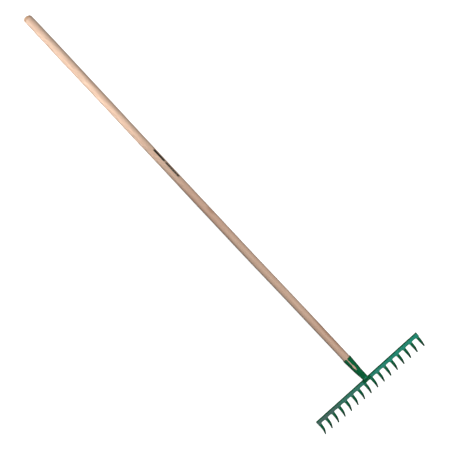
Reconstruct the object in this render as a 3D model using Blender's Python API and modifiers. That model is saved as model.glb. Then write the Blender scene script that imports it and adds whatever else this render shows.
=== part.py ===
"""Level-head garden rake: a turned wooden handle in a rolled steel socket, welded to a pressed head.

The rake lies on its back with the teeth up. X runs along the head, Y runs from the handle's top end
to the head, and Z is up. Lengths are in metres. The origin is on the floor, under the middle.
"""

import math

import bmesh
import bpy
from mathutils import Matrix, Vector

# Head: one pressed sheet with a folded flange at the back and a row of curved teeth at the front
TOOTH_COUNT = 16
TOOTH_PITCH = 0.0270
TOOTH_ROOT_WIDTH = 0.0106
TOOTH_TIP_WIDTH = 0.0034
TOOTH_LENGTH = 0.0546
TOOTH_POINT_LENGTH = 0.0035
TOOTH_BEND_RADIUS = 0.0212
TOOTH_BEND_ANGLE = math.radians(75.5)
TOOTH_BEND_STEPS = 8
TOOTH_STRAIGHT_STEPS = 3
GULLET_RADIUS = 0.0028
HEAD_SHEET = 0.0020
BAR_FACE_WIDTH = 0.0127
BAR_END_MARGIN = 0.0012
BAR_CORNER_RADIUS = 0.0012
FLANGE_DEPTH = 0.0074
FLANGE_BEND_RADIUS = 0.0022
FLANGE_BEND_STEPS = 5

# Handle: a round wooden pole with a domed end, a slight swell, a waist, a neck and a tapered foot
HANDLE_LENGTH = 1.5000
HANDLE_TOP_DIAMETER = 0.0284
HANDLE_WAIST_DIAMETER = 0.0267
HANDLE_FOOT_DIAMETER = 0.0254
HANDLE_END_SWELL = 0.0004
HANDLE_END_SWELL_RUN = 0.3000
HANDLE_DOME_RADIUS = 0.0090
HANDLE_TAPER_FROM_TOP = 0.3800
HANDLE_TAPER_RUN = 0.3600
HANDLE_NECK_RUN = 0.2000
HANDLE_RUNG = 0.0450
HANDLE_FOOT_CHAMFER = 0.0015
HANDLE_SIDES = 40

# Socket: a sheet rolled to an open cone and pinched flat where it meets the head
SOCKET_SHEET = 0.0016
SOCKET_LENGTH = 0.0845
SOCKET_FOOT_WIDTH = 0.0195
SOCKET_HANDLE_INSERTION = 0.0465
SOCKET_LIP_REACH = 0.0080
SOCKET_LIP_GAP = 0.0005
SOCKET_FOOT_HEIGHT = 0.0090
SEAM_GAP = 0.0024
SEAM_CLOSED_GAP = 0.0006
SEAM_WINDOW_WIDTH = 0.0075
SEAM_WINDOW_START = 0.0190
SEAM_WINDOW_LENGTH = 0.0240
SOCKET_ROWS = 36
SOCKET_COLUMNS = 13

# Screw through the back of the socket into the wood
SCREW_SHANK_DIAMETER = 0.0040
SCREW_LENGTH = 0.0160
SCREW_HEAD_DIAMETER = 0.0080
SCREW_HEAD_HEIGHT = 0.0024
SCREW_FROM_MOUTH = 0.0140

# Weld beads between the socket's foot and the head
WELD_WIDTH = 0.0058
WELD_HEIGHT = 0.0037
WELD_OVERRUN = 0.0015

# Air between pieces that touch on the real rake
CLEARANCE = 0.0003

# Places worked out from the sizes above. Y is counted from the back of the head's bar, Z from its face.
TOOTH_STRAIGHT = TOOTH_LENGTH - TOOTH_BEND_RADIUS * TOOTH_BEND_ANGLE
TOOTH_REACH = (
    BAR_FACE_WIDTH
    + (TOOTH_BEND_RADIUS + HEAD_SHEET / 2) * math.sin(TOOTH_BEND_ANGLE)
    + TOOTH_STRAIGHT * math.cos(TOOTH_BEND_ANGLE)
)
BAR_LENGTH = (TOOTH_COUNT - 1) * TOOTH_PITCH + TOOTH_ROOT_WIDTH + 2 * BAR_END_MARGIN
HANDLE_FOOT_Y = SOCKET_HANDLE_INSERTION - SOCKET_LENGTH
HANDLE_TOP_Y = HANDLE_FOOT_Y - HANDLE_LENGTH
SOCKET_MOUTH_RADIUS = HANDLE_FOOT_DIAMETER / 2 + CLEARANCE + SOCKET_SHEET / 2
SOCKET_FOOT_RADIUS = (SOCKET_FOOT_WIDTH - SOCKET_SHEET) / 2
LIP_RADIUS = (SOCKET_SHEET + SOCKET_LIP_GAP) / 2
SOCKET_FLOOR = CLEARANCE + SOCKET_SHEET / 2
AXIS_HEIGHT = SOCKET_FLOOR + SOCKET_FOOT_RADIUS
SCREW_Y = SCREW_FROM_MOUTH - SOCKET_LENGTH


def clear_scene():
    """Remove whatever the scene holds."""
    for item in list(bpy.data.objects):
        bpy.data.objects.remove(item, do_unlink=True)


def new_collection(name):
    """Add an empty collection to the scene."""
    collection = bpy.data.collections.new(name)
    bpy.context.scene.collection.children.link(collection)
    return collection


def new_material(name, colour, roughness, metallic=0.0):
    """Make a Principled material from a linear colour."""
    material = bpy.data.materials.new(name)
    material.use_nodes = True
    shader = material.node_tree.nodes["Principled BSDF"]
    shader.inputs["Base Color"].default_value = (*colour, 1.0)
    shader.inputs["Roughness"].default_value = roughness
    shader.inputs["Metallic"].default_value = metallic
    material.diffuse_color = (*colour, 1.0)
    return material


def add_object(name, mesh, collection, base, material=None):
    """Put a mesh in a collection as an object under the rake's empty."""
    item = bpy.data.objects.new(name, mesh)
    collection.objects.link(item)
    item.parent = base
    if material:
        mesh.materials.append(material)
    return item


def mesh_from_bmesh(name, form):
    """Turn a bmesh into a mesh and free it."""
    bmesh.ops.recalc_face_normals(form, faces=form.faces)
    mesh = bpy.data.meshes.new(name)
    form.to_mesh(mesh)
    form.free()
    return mesh


def add_cutter(target, cutter):
    """Cut one object out of another and keep the cutter out of the render."""
    cutter.hide_render = True
    cutter.display_type = "WIRE"
    cut = target.modifiers.new("cut_" + cutter.name, "BOOLEAN")
    cut.operation = "DIFFERENCE"
    cut.solver = "EXACT"
    cut.object = cutter


def smooth_step(value):
    """Ease from 0 to 1 with level ends."""
    value = min(max(value, 0.0), 1.0)
    return value * value * (3.0 - 2.0 * value)


def fillet(before, corner, after, radius, steps=4):
    """Points of an arc of the given radius that rounds one corner of an outline."""
    inward = (Vector(before) - Vector(corner)).normalized()
    outward = (Vector(after) - Vector(corner)).normalized()
    half_angle = inward.angle(outward) / 2
    centre = Vector(corner) + (inward + outward).normalized() * (radius / math.sin(half_angle))
    start = Vector(corner) + inward * (radius / math.tan(half_angle)) - centre
    sweep = (math.pi - 2 * half_angle) * (1 if inward.cross(outward) < 0 else -1)
    turns = (Matrix.Rotation(sweep * step / steps, 2) for step in range(steps + 1))
    return [tuple(centre + turn @ start) for turn in turns]


def rounded(corners):
    """Round an outline's corners: each corner is x, y and a radius, and 0 leaves it sharp."""
    points = []
    for index, (x, y, radius) in enumerate(corners):
        before = corners[index - 1][:2]
        after = corners[(index + 1) % len(corners)][:2]
        points += fillet(before, (x, y), after, radius) if radius else [(x, y)]
    return points


def head_blank():
    """Outline of the flat sheet that the head is pressed from, teeth towards +Y, clockwise."""
    half_bar = BAR_LENGTH / 2
    flange_run = FLANGE_DEPTH - HEAD_SHEET / 2 - FLANGE_BEND_RADIUS + FLANGE_BEND_RADIUS * math.pi / 2
    back = HEAD_SHEET / 2 + FLANGE_BEND_RADIUS - flange_run
    shoulder = BAR_FACE_WIDTH + TOOTH_LENGTH - TOOTH_POINT_LENGTH
    shoulder_half = TOOTH_TIP_WIDTH / 2
    shoulder_half += (TOOTH_ROOT_WIDTH - TOOTH_TIP_WIDTH) / 2 * TOOTH_POINT_LENGTH / TOOTH_LENGTH
    root_half = TOOTH_ROOT_WIDTH / 2
    tip = BAR_FACE_WIDTH + TOOTH_LENGTH
    corners = [(half_bar, back, 0), (-half_bar, back, 0)]
    corners.append((-half_bar, BAR_FACE_WIDTH, BAR_CORNER_RADIUS))
    for index in range(TOOTH_COUNT):
        x = (index - (TOOTH_COUNT - 1) / 2) * TOOTH_PITCH
        corners.append((x - root_half, BAR_FACE_WIDTH, GULLET_RADIUS if index else 0))
        corners.append((x - shoulder_half, shoulder, 0))
        corners.append((x - TOOTH_TIP_WIDTH / 5, tip, 0))
        corners.append((x + TOOTH_TIP_WIDTH / 5, tip, 0))
        corners.append((x + shoulder_half, shoulder, 0))
        corners.append((x + root_half, BAR_FACE_WIDTH, GULLET_RADIUS if index < TOOTH_COUNT - 1 else 0))
    corners.append((half_bar, BAR_FACE_WIDTH, BAR_CORNER_RADIUS))
    return rounded(corners)


def flat_sheet(name, outline, thickness):
    """A flat sheet of the given outline, as a bmesh with its middle at Z 0."""
    curve = bpy.data.curves.new(name, "CURVE")
    curve.dimensions = "2D"
    curve.fill_mode = "BOTH"
    curve.extrude = thickness / 2
    spline = curve.splines.new("POLY")
    spline.points.add(len(outline) - 1)
    for point, (x, y) in zip(spline.points, outline):
        point.co = (x, y, 0.0, 1.0)
    spline.use_cyclic_u = True
    drawing = bpy.data.objects.new(name, curve)
    bpy.context.scene.collection.objects.link(drawing)
    bpy.context.view_layer.update()
    flat = bpy.data.meshes.new_from_object(drawing.evaluated_get(bpy.context.evaluated_depsgraph_get()))
    form = bmesh.new()
    form.from_mesh(flat)
    bmesh.ops.remove_doubles(form, verts=form.verts, dist=1e-6)
    bpy.data.objects.remove(drawing, do_unlink=True)
    bpy.data.curves.remove(curve)
    bpy.data.meshes.remove(flat)
    return form


def bend(form, start, radius, angle, steps, direction):
    """Bend the part of a sheet beyond Y = start upwards, or for direction -1 the part before it down."""
    for step in range(steps + 1):
        geometry = form.verts[:] + form.edges[:] + form.faces[:]
        line = start + direction * radius * angle * step / steps
        bmesh.ops.bisect_plane(form, geom=geometry, dist=1e-7, plane_co=(0, line, 0), plane_no=(0, 1, 0))
    for vertex in form.verts:
        run = (vertex.co.y - start) * direction
        if run <= 0:
            continue
        turn = min(run / radius, angle)
        straight = run - turn * radius
        arm = radius - vertex.co.z * direction
        vertex.co.y = start + direction * (arm * math.sin(turn) + straight * math.cos(turn))
        vertex.co.z = direction * (radius - arm * math.cos(turn) + straight * math.sin(turn))


def build_head(collection, base, material):
    """The pressed head: cut the blank, fold the flange down and curl the teeth up."""
    form = flat_sheet("rake_head", head_blank(), HEAD_SHEET)
    for step in range(1, TOOTH_STRAIGHT_STEPS):
        line = BAR_FACE_WIDTH + TOOTH_LENGTH - TOOTH_STRAIGHT * step / TOOTH_STRAIGHT_STEPS
        geometry = form.verts[:] + form.edges[:] + form.faces[:]
        bmesh.ops.bisect_plane(form, geom=geometry, dist=1e-7, plane_co=(0, line, 0), plane_no=(0, 1, 0))
    fold_start = HEAD_SHEET / 2 + FLANGE_BEND_RADIUS
    bend(form, fold_start, FLANGE_BEND_RADIUS, math.pi / 2, FLANGE_BEND_STEPS, -1)
    bend(form, BAR_FACE_WIDTH, TOOTH_BEND_RADIUS, TOOTH_BEND_ANGLE, TOOTH_BEND_STEPS, 1)
    head = add_object("rake_head", mesh_from_bmesh("rake_head", form), collection, base, material)
    head.location.z = -HEAD_SHEET / 2


def socket_inner_radius(from_mouth):
    """Radius of the round hollow in the socket, at a distance from its mouth."""
    share = from_mouth / SOCKET_LENGTH
    middle = SOCKET_MOUTH_RADIUS + (SOCKET_FOOT_RADIUS - SOCKET_MOUTH_RADIUS) * share
    return middle - SOCKET_SHEET / 2


def handle_radius(from_top):
    """Radius of the bare handle at a distance from its top end: a slight swell, a taper and a neck."""
    swell_share = (from_top - HANDLE_DOME_RADIUS) / HANDLE_END_SWELL_RUN
    swell = HANDLE_END_SWELL * math.sin(math.pi * swell_share) if 0 < swell_share < 1 else 0.0
    taper = smooth_step((from_top - HANDLE_TAPER_FROM_TOP) / HANDLE_TAPER_RUN)
    neck_start = HANDLE_LENGTH - SOCKET_HANDLE_INSERTION - HANDLE_NECK_RUN
    neck = smooth_step((from_top - neck_start) / HANDLE_NECK_RUN)
    diameter = HANDLE_TOP_DIAMETER + (HANDLE_WAIST_DIAMETER - HANDLE_TOP_DIAMETER) * taper
    diameter += (HANDLE_FOOT_DIAMETER - HANDLE_WAIST_DIAMETER) * neck
    return diameter / 2 + swell


def handle_profile():
    """Half section of the handle as radius and height, from the domed top down to the foot."""
    dome = min(HANDLE_DOME_RADIUS, HANDLE_TOP_DIAMETER * 0.4)
    core = HANDLE_TOP_DIAMETER / 2 - dome
    points = [(0.0, HANDLE_LENGTH)]
    dome_steps = 7
    for step in range(dome_steps + 1):
        angle = math.pi / 2 * (1 - step / dome_steps)
        points.append((core + dome * math.cos(angle), HANDLE_LENGTH - dome + dome * math.sin(angle)))
    rim = SOCKET_HANDLE_INSERTION + 2 * CLEARANCE
    bare = HANDLE_LENGTH - dome - rim
    rungs = math.ceil(bare / HANDLE_RUNG)
    for rung in range(1, rungs + 1):
        from_top = dome + bare * rung / rungs
        points.append((handle_radius(from_top), HANDLE_LENGTH - from_top))
    for height in (SOCKET_HANDLE_INSERTION, SOCKET_HANDLE_INSERTION / 2, HANDLE_FOOT_CHAMFER):
        from_mouth = SOCKET_HANDLE_INSERTION - height
        points.append((socket_inner_radius(from_mouth) - CLEARANCE, height))
    points.append((socket_inner_radius(SOCKET_HANDLE_INSERTION) - CLEARANCE - HANDLE_FOOT_CHAMFER, 0.0))
    points.append((0.0, 0.0))
    return points


def build_handle(collection, base, material):
    """The wooden handle, turned about its own axis and laid along Y."""
    form = bmesh.new()
    verts = [form.verts.new((radius, 0.0, height)) for radius, height in handle_profile()]
    for upper, lower in zip(verts, verts[1:]):
        form.edges.new((upper, lower))
    mesh = bpy.data.meshes.new("handle")
    form.to_mesh(mesh)
    form.free()
    handle = add_object("handle", mesh, collection, base, material)
    screw = handle.modifiers.new("turning", "SCREW")
    screw.axis = "Z"
    screw.steps = HANDLE_SIDES
    screw.render_steps = HANDLE_SIDES
    screw.use_merge_vertices = True
    screw.merge_threshold = 1e-5
    handle.location = (0.0, HANDLE_FOOT_Y, AXIS_HEIGHT)
    handle.rotation_euler = (math.pi / 2, 0.0, 0.0)
    return handle


def socket_section(y):
    """Half width, half height and middle height of the rolled sheet's section at one place."""
    from_mouth = min(y + SOCKET_LENGTH, SOCKET_LENGTH)
    round_radius = socket_inner_radius(from_mouth) + SOCKET_SHEET / 2
    floor = AXIS_HEIGHT - round_radius
    foot_radius = (SOCKET_FOOT_HEIGHT - SOCKET_SHEET) / 2
    squash = smooth_step((y - HANDLE_FOOT_Y) / -HANDLE_FOOT_Y)
    half_height = round_radius + (foot_radius - round_radius) * squash
    if y > 0:
        half_height += (LIP_RADIUS - foot_radius) * smooth_step(y / (SOCKET_LIP_REACH * 0.7))
    return round_radius, half_height, floor + half_height


def seam_gap(from_mouth):
    """Width of the open seam along the top of the socket."""
    along = (from_mouth - SEAM_WINDOW_START) / SEAM_WINDOW_LENGTH
    if along <= 0:
        return SEAM_GAP
    if along < 1:
        base = SEAM_GAP + (SEAM_CLOSED_GAP - SEAM_GAP) * along
        return base + (SEAM_WINDOW_WIDTH - SEAM_GAP) * math.sin(math.pi * along)
    return SEAM_CLOSED_GAP


def round_ended_point(half_width, half_height, travel):
    """A point of a flat-sided oval, at a distance from its top middle, going round by +X."""
    flat = half_width - half_height
    if travel <= flat:
        return travel, half_height
    turn = (travel - flat) / half_height
    if turn <= math.pi:
        return flat + half_height * math.sin(turn), half_height * math.cos(turn)
    return 2 * flat + half_height * math.pi - travel, -half_height


def socket_grid():
    """Rows of points down the +X half of the rolled sheet, from the seam to the middle of the back."""
    rows = []
    for row in range(SOCKET_ROWS + 1):
        from_mouth = (SOCKET_LENGTH + SOCKET_LIP_REACH) * row / SOCKET_ROWS
        y = from_mouth - SOCKET_LENGTH
        half_width, half_height, middle = socket_section(y)
        girth = 2 * (half_width - half_height) + math.pi * half_height
        start = seam_gap(from_mouth) / 2
        points = []
        for column in range(SOCKET_COLUMNS):
            travel = start + (girth - start) * column / (SOCKET_COLUMNS - 1)
            x, z = round_ended_point(half_width, half_height, travel)
            points.append((x if column < SOCKET_COLUMNS - 1 else 0.0, y, middle + z))
        rows.append(points)
    return rows


def build_socket(collection, base, material):
    """The rolled socket: half of the sheet's middle surface, mirrored and thickened."""
    form = bmesh.new()
    rows = [[form.verts.new(point) for point in points] for points in socket_grid()]
    for upper, lower in zip(rows, rows[1:]):
        for column in range(SOCKET_COLUMNS - 1):
            form.faces.new((upper[column], upper[column + 1], lower[column + 1], lower[column]))
    socket = add_object("socket", mesh_from_bmesh("socket", form), collection, base, material)
    mirror = socket.modifiers.new("other_half", "MIRROR")
    mirror.merge_threshold = 1e-6
    wall = socket.modifiers.new("wall", "SOLIDIFY")
    wall.thickness = SOCKET_SHEET
    wall.offset = 0.0
    return socket


def round_bar(name, diameter, bottom, top, collection, base, sides=24):
    """An upright cylinder between two heights, in the screw's place."""
    form = bmesh.new()
    bmesh.ops.create_cone(form, cap_ends=True, segments=sides, radius1=diameter / 2, radius2=diameter / 2,
                          depth=top - bottom)
    bar = add_object(name, mesh_from_bmesh(name, form), collection, base)
    bar.location = (0.0, SCREW_Y, (top + bottom) / 2)
    return bar


def build_screw(collection, base, material, seat):
    """A round-headed wood screw that points up into the handle from the back of the socket."""
    head_radius = SCREW_HEAD_DIAMETER / 2
    shank_radius = SCREW_SHANK_DIAMETER / 2
    tip_run = shank_radius * 1.6
    profile = [(0.0, SCREW_LENGTH), (shank_radius, SCREW_LENGTH - tip_run), (shank_radius, 0.0)]
    profile.append((head_radius, 0.0))
    for step in range(1, 6):
        angle = math.pi / 2 * step / 5
        profile.append((head_radius * math.cos(angle), -SCREW_HEAD_HEIGHT * math.sin(angle)))
    form = bmesh.new()
    verts = [form.verts.new((radius if radius > 1e-9 else 0.0, 0.0, height)) for radius, height in profile]
    for upper, lower in zip(verts, verts[1:]):
        form.edges.new((upper, lower))
    mesh = bpy.data.meshes.new("fixing_screw")
    form.to_mesh(mesh)
    form.free()
    screw = add_object("fixing_screw", mesh, collection, base, material)
    turning = screw.modifiers.new("turning", "SCREW")
    turning.steps = 24
    turning.render_steps = 24
    turning.use_merge_vertices = True
    turning.merge_threshold = 1e-5
    screw.location = (0.0, SCREW_Y, seat)


def build_weld(name, centre, half_sizes, collection, base, material):
    """Half an ellipsoid of weld metal that sits on the face of the head."""
    form = bmesh.new()
    bmesh.ops.create_uvsphere(form, u_segments=24, v_segments=12, radius=1.0)
    bmesh.ops.bisect_plane(form, geom=form.verts[:] + form.edges[:] + form.faces[:], dist=1e-6,
                           plane_co=(0, 0, 0), plane_no=(0, 0, 1), clear_inner=True)
    rim = [edge for edge in form.edges if edge.is_boundary]
    bmesh.ops.contextual_create(form, geom=rim)
    bmesh.ops.scale(form, vec=half_sizes, verts=form.verts)
    weld = add_object(name, mesh_from_bmesh(name, form), collection, base, material)
    weld.location = centre


def main():
    """Build every piece of the rake."""
    clear_scene()
    parts = new_collection("garden_rake")
    cutters = new_collection("cutters")
    base = bpy.data.objects.new("rake", None)
    parts.objects.link(base)
    base.location = (0.0, -(HANDLE_TOP_Y + TOOTH_REACH) / 2, FLANGE_DEPTH)

    head_paint = new_material("head_paint", (0.010, 0.160, 0.085), 0.35)
    socket_paint = new_material("socket_paint", (0.004, 0.110, 0.035), 0.35)
    weld_paint = new_material("weld_paint", (0.006, 0.120, 0.045), 0.45)
    beech = new_material("beech", (0.560, 0.360, 0.240), 0.55)
    zinc = new_material("zinc", (0.550, 0.560, 0.570), 0.35, 1.0)

    build_head(parts, base, head_paint)
    handle = build_handle(parts, base, beech)
    socket = build_socket(parts, base, socket_paint)

    socket_back = AXIS_HEIGHT - socket_inner_radius(SCREW_FROM_MOUTH - SCREW_HEAD_DIAMETER / 2) - SOCKET_SHEET
    seat = socket_back - CLEARANCE
    build_screw(parts, base, zinc, seat)
    hole = round_bar("screw_hole", SCREW_SHANK_DIAMETER + 2 * CLEARANCE, seat - CLEARANCE,
                     seat + SCREW_LENGTH + CLEARANCE, cutters, base)
    add_cutter(handle, hole)
    add_cutter(socket, hole)

    side = SOCKET_FOOT_WIDTH / 2 + WELD_WIDTH / 2
    side_run = SOCKET_LIP_REACH / 2 + WELD_OVERRUN
    side_y = WELD_OVERRUN + side_run
    for name, sign in (("weld_bead_left", 1), ("weld_bead_right", -1)):
        build_weld(name, (sign * side, side_y, CLEARANCE), (WELD_WIDTH / 2, side_run, WELD_HEIGHT),
                   parts, base, weld_paint)
    front_half = WELD_WIDTH / 2 * 0.7
    front_y = SOCKET_LIP_REACH + CLEARANCE + front_half
    build_weld("weld_bead_front", (0.0, front_y, CLEARANCE),
               (SOCKET_FOOT_WIDTH / 2 - WELD_OVERRUN / 2, front_half, WELD_HEIGHT * 0.8),
               parts, base, weld_paint)


main()
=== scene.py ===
"""Level-head garden rake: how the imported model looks, laid out as a Blender add-on.

The rake lies on its back with the teeth up. X runs along the head, Y from the handle's top end towards
the teeth, and Z up. Lengths are in metres. Run it as a script: it builds every piece and the stage.
"""

import math

import bmesh
import bpy
import numpy as np
from bpy.props import FloatProperty, FloatVectorProperty, IntProperty, PointerProperty, StringProperty
from mathutils import Matrix, Vector


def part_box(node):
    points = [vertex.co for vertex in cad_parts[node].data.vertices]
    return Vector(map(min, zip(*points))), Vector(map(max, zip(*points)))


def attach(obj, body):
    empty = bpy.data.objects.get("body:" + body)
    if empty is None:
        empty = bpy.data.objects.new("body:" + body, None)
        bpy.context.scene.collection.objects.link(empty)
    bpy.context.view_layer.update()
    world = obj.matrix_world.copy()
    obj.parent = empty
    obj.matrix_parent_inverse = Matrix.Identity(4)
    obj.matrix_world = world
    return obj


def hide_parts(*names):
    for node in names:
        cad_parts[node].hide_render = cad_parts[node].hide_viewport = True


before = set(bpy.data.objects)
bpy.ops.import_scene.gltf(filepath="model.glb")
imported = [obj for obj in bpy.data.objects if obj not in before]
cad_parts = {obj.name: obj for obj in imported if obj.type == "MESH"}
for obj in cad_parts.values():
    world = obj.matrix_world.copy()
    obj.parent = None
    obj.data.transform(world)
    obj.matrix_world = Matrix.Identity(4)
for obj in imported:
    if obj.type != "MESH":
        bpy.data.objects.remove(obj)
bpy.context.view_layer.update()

bl_info = {
    "name": "Garden Rake",
    "version": (1, 0, 0),
    "blender": (4, 5, 0),
    "location": "3D View > Sidebar > Rake",
    "description": "Builds a level-head garden rake: wooden handle, rolled socket and pressed head",
    "category": "Add Mesh",
}

# Places that every piece shares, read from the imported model
BAR_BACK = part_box("rake_head")[0].y
HANDLE_LOW, HANDLE_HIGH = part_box("handle")
SOCKET_LOW, SOCKET_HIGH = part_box("socket")
BEAD_LOW, BEAD_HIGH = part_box("weld_bead_left")
FRONT_BEAD_LOW, FRONT_BEAD_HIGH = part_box("weld_bead_front")
SCREW_LOW, SCREW_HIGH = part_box("fixing_screw")
AXIS_HEIGHT = (HANDLE_LOW.z + HANDLE_HIGH.z) / 2
EDGE_RADIUS = 0.0005  # rounding that the press and the paint leave on every cut edge


# ---------- Settings that a user would change ----------


def length(name, default, description):
    """A size in metres."""
    return FloatProperty(name=name, default=default, description=description, min=0.0, unit="LENGTH",
                         precision=5)


def colour(name, default, description):
    """A colour as an sRGB hex value."""
    return StringProperty(name=name, default=default, description=description)


class HandleSettings(bpy.types.PropertyGroup):
    """Sizes and colours of the wooden handle."""

    top_diameter: length("Top diameter", 0.0284, "Thickness of the upper handle")
    waist_diameter: length("Waist diameter", 0.0267, "Thickness of the lower handle")
    foot_diameter: length("Foot diameter", 0.0254, "Thickness just above the socket")
    swell: length("End swell", 0.0004, "How far the radius swells below the top end")
    swell_run: length("Swell run", 0.300, "Length of the swell below the top end")
    dome_radius: length("Dome radius", 0.0090, "Radius that rounds the top end")
    taper_from_top: length("Taper start", 0.380, "Distance from the top end to the start of the taper")
    taper_run: length("Taper run", 0.360, "Length of the taper")
    neck_run: length("Neck run", 0.200, "Length of the last taper above the socket")
    bow: length("Bow", 0.0021, "How far the pole bows towards +X")
    end_cut: length("End cut", 0.0036, "How much shorter than the blank the end is cut, at mid width")
    end_slant: length("End slant", 0.0013, "How far the end's cut is out of square at each side")
    insertion: length("Insertion", 0.0465, "Length of wood inside the socket")
    ring_width: length("Growth ring", 0.0032, "Distance between two growth rings")
    fibre_length: length("Fibre streak", 0.060, "Length of a streak of the grain")
    pale: colour("Pale wood", "#E7D2BF", "Early wood, as an sRGB hex value")
    deep: colour("Deep wood", "#C8A691", "Late wood, as an sRGB hex value")
    fleck: colour("Fleck", "#9C6B4E", "The small dark flecks of the wood, as an sRGB hex value")
    ink: colour("Print", "#0C0909", "Printed bars on the handle, as an sRGB hex value")


class HeadSettings(bpy.types.PropertyGroup):
    """Sizes and colours of the pressed head."""

    teeth: IntProperty(name="Teeth", default=16, min=2, description="Number of teeth")
    pitch: length("Pitch", 0.0270, "Distance between two teeth")
    root_width: length("Root width", 0.0106, "Width of a tooth where it leaves the bar")
    tip_width: length("Tip width", 0.0034, "Width that the taper of a tooth aims at")
    tooth_length: length("Tooth length", 0.0546, "Length of a tooth along its curve")
    point_length: length("Point length", 0.0045, "Length of the rounded point of a tooth")
    bend_radius: length("Bend radius", 0.0212, "Radius of the curve of a tooth")
    bend_angle: FloatProperty(name="Bend angle", default=math.radians(75.5), subtype="ANGLE",
                              description="How far a tooth turns up from the bar")
    gullet_radius: length("Gullet radius", 0.0028, "Radius in the corners between bar and tooth")
    trough: length("Trough", 0.0007, "Depth of the hollow pressed along a tooth")
    sheet: length("Sheet", 0.0020, "Thickness of the steel")
    face_width: length("Face width", 0.0127, "Width of the bar's flat face with its back edge")
    end_margins: FloatVectorProperty(name="End margins", default=(0.0002, 0.0022), size=2, unit="LENGTH",
                                     description="Bar left over outside the last teeth, at +X and -X")
    flange_depth: length("Flange depth", 0.0074, "Depth of the folded flange below the face")
    fold_radius: length("Fold radius", 0.0022, "Radius of the fold at the back of the bar")
    unevenness: length("Unevenness", 0.0006, "How far the tip of a tooth may stand out of line")
    paint: colour("Enamel", "#006640", "Green of the head, as an sRGB hex value")


class SocketSettings(bpy.types.PropertyGroup):
    """Sizes and colours of the rolled socket."""

    sheet: length("Sheet", 0.0016, "Thickness of the steel")
    span: length("Length", 0.0845, "Length from the mouth to the back of the bar")
    lip_reach: length("Lip reach", 0.0080, "How far the pinched lip reaches over the bar")
    foot_width: length("Foot width", 0.0195, "Width where the socket meets the bar")
    foot_lean: length("Foot lean", 0.0007, "How far the foot is pressed over towards -X")
    crown: length("Crown", 0.0010, "How far the front of the foot is crowned")
    foot_height: length("Foot height", 0.0090, "Height where the socket meets the bar")
    lip_gap: length("Lip gap", 0.0005, "Air between the two layers of the lip")
    clearance: length("Clearance", 0.0003, "Air between pieces that touch")
    seam_gap: length("Seam gap", 0.0024, "Width of the open seam at the mouth")
    closed_gap: length("Closed gap", 0.0015, "Width of the seam just below the window")
    shut_gap: length("Shut gap", 0.00015, "Width of the seam near the foot")
    window_width: length("Window width", 0.0075, "Width of the opening in the seam")
    window_start: length("Window start", 0.0190, "Distance from the mouth to the opening")
    window_length: length("Window length", 0.0240, "Length of the opening")
    corner: length("Corner", 0.0030, "Radius of the sheet's corners at the mouth")
    paint: colour("Enamel", "#00683A", "Green of the socket, as an sRGB hex value")


class WeldSettings(bpy.types.PropertyGroup):
    """Look of the weld beads."""

    ripple: length("Ripple", 0.0013, "Distance between two ripples of a bead")
    paint: colour("Enamel", "#04663A", "Green over the welds, as an sRGB hex value")


class ScrewSettings(bpy.types.PropertyGroup):
    """Sizes and colours of the fixing screw."""

    shank_diameter: length("Shank diameter", 0.0040, "Thickness of the shank")
    head_height: length("Head height", 0.0024, "Height of the domed head")
    slot_width: length("Slot width", 0.0010, "Width of the driver slot")
    slot_depth: length("Slot depth", 0.0009, "Depth of the driver slot")
    thread: length("Thread pitch", 0.0018, "Distance between two turns of the thread")
    zinc: colour("Zinc", "#C3C6C8", "Colour of the plating, as an sRGB hex value")


class StageSettings(bpy.types.PropertyGroup):
    """Camera, lights and floor."""

    camera_place: FloatVectorProperty(name="Camera", default=(-0.40696, -0.55290, 3.31957), unit="LENGTH",
                                      description="Camera, from the back of the bar's face")
    camera_aim: FloatVectorProperty(name="Aim", default=(-0.00618, -0.63996, 0.0), unit="LENGTH",
                                    description="Point in mid-picture, from the same place")
    camera_turn: FloatProperty(name="Turn", default=math.radians(-136.912), subtype="ANGLE",
                               description="How far the picture's top is turned from +Y")
    focal_length: FloatProperty(name="Focal length", default=86.4, description="In millimetres")
    floor: colour("Floor", "#FFFFFF", "Colour of the floor, as an sRGB hex value")


# ---------- Shared tools ----------


def linear(hex_colour):
    """sRGB hex to linear RGBA: c / 12.92 below 0.04045, else ((c + 0.055) / 1.055) ** 2.4."""
    values = np.array([int(hex_colour[i:i + 2], 16) for i in (1, 3, 5)]) / 255.0
    values = np.where(values <= 0.04045, values / 12.92, ((values + 0.055) / 1.055) ** 2.4)
    return (*values.tolist(), 1.0)


def smooth_step(value):
    """3t^2 - 2t^3 with t held between 0 and 1."""
    t = np.clip(value, 0.0, 1.0)
    return t * t * (3.0 - 2.0 * t)


def grid_faces(rows, columns, first=0, around=False):
    """Quads of a grid of points numbered row by row; around joins the last column to the first."""
    strips = columns if around else columns - 1
    row, column = np.meshgrid(np.arange(rows - 1), np.arange(strips), indexing="ij")
    after = (column + 1) % columns
    corners = np.stack((row * columns + column, row * columns + after,
                        (row + 1) * columns + after, (row + 1) * columns + column), axis=-1)
    return corners.reshape(-1, 4) + first


def add_piece(name, points, faces, material, smooth_angle=40.0):
    """Make a mesh object from arrays: doubles merged, normals recalculated, smooth below an angle."""
    mesh = bpy.data.meshes.new(name)
    mesh.from_pydata(points.reshape(-1, 3).tolist(), [], faces.tolist())
    form = bmesh.new()
    form.from_mesh(mesh)
    bmesh.ops.remove_doubles(form, verts=form.verts, dist=1e-6)
    bmesh.ops.recalc_face_normals(form, faces=form.faces)
    form.to_mesh(mesh)
    form.free()
    mesh.materials.append(material)
    piece = bpy.data.objects.new(name, mesh)
    bpy.context.scene.collection.objects.link(piece)
    mesh.polygons.foreach_set("use_smooth", np.ones(len(mesh.polygons), bool))
    mesh.set_sharp_from_angle(angle=math.radians(smooth_angle))
    return piece


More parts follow.
